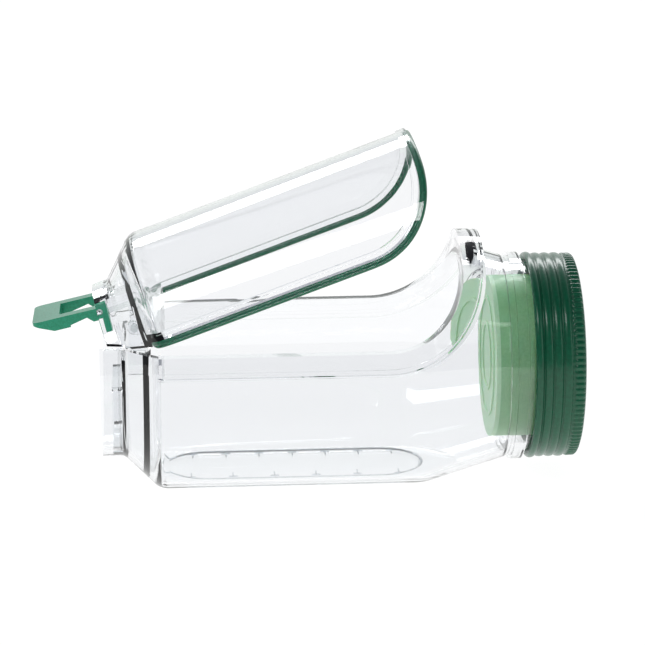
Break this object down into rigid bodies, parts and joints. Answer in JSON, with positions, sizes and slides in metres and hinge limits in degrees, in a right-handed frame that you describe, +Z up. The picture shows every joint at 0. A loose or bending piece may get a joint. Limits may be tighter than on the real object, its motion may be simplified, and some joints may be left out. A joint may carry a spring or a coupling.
{
  "type": "side-lid jar",
  "caption": "Clear round container lying on its side, with a hinged half-shell lid and gasket, a lever, a ring-type screw closure and an insert cup in the neck.",
  "frame": {"origin": "middle of the flat panel on the underside that the container rests on", "axes": "+X along the container from its foot to its screw closure, +Z up"},
  "size_m": [0.2314, 0.109, 0.1488],
  "materials": {
    "clear_plastic": "clear, polished",
    "gasket_green": "smooth, semi-gloss",
    "lever_green": "smooth moulded",
    "pin_plastic": "smooth moulded",
    "cap_green": "glossy",
    "seal_rubber": "matt",
    "insert_green": "satin, slightly translucent",
    "face_green": "satin"
  },
  "bodies": {
    "base": {"base_shell": "clear_plastic", "hinge_pins": "pin_plastic"},
    "lid": {"lid_shell": "clear_plastic", "lid_gasket": "gasket_green", "latch_pin": "pin_plastic"},
    "lever": {"latch_lever": "lever_green"},
    "closure": {"cap_disc": "cap_green", "cap_seal": "seal_rubber", "insert_cup": "insert_green", "insert_face": "face_green"},
    "ring": {"cap_band": "cap_green"}
  },
  "joints": [
    {"name": "lid_hinge", "type": "hinge", "parent": "base", "child": "lid", "pos_m": [-0.0665, 0, 0.07], "axis": [0, -1, 0], "range_deg": [-20, 0]},
    {"name": "lever_pivot", "type": "hinge", "parent": "lid", "child": "lever", "pos_m": [-0.0815, 0, 0.0752], "axis": [0, -1, 0], "range_deg": [-8, 6]},
    {"name": "closure_slide", "type": "slide", "parent": "base", "child": "closure", "axis": [1, 0, 0], "range_m": [0, 0.00635]},
    {"name": "ring_turn", "type": "hinge", "parent": "closure", "child": "ring", "pos_m": [0.11, 0, 0.0495], "axis": [1, 0, 0], "range_deg": [0, 450]}
  ],
  "couplings": [
    {"joint": "closure_slide", "follows": "ring_turn", "m_per_rad": 0.00080851}
  ]
}
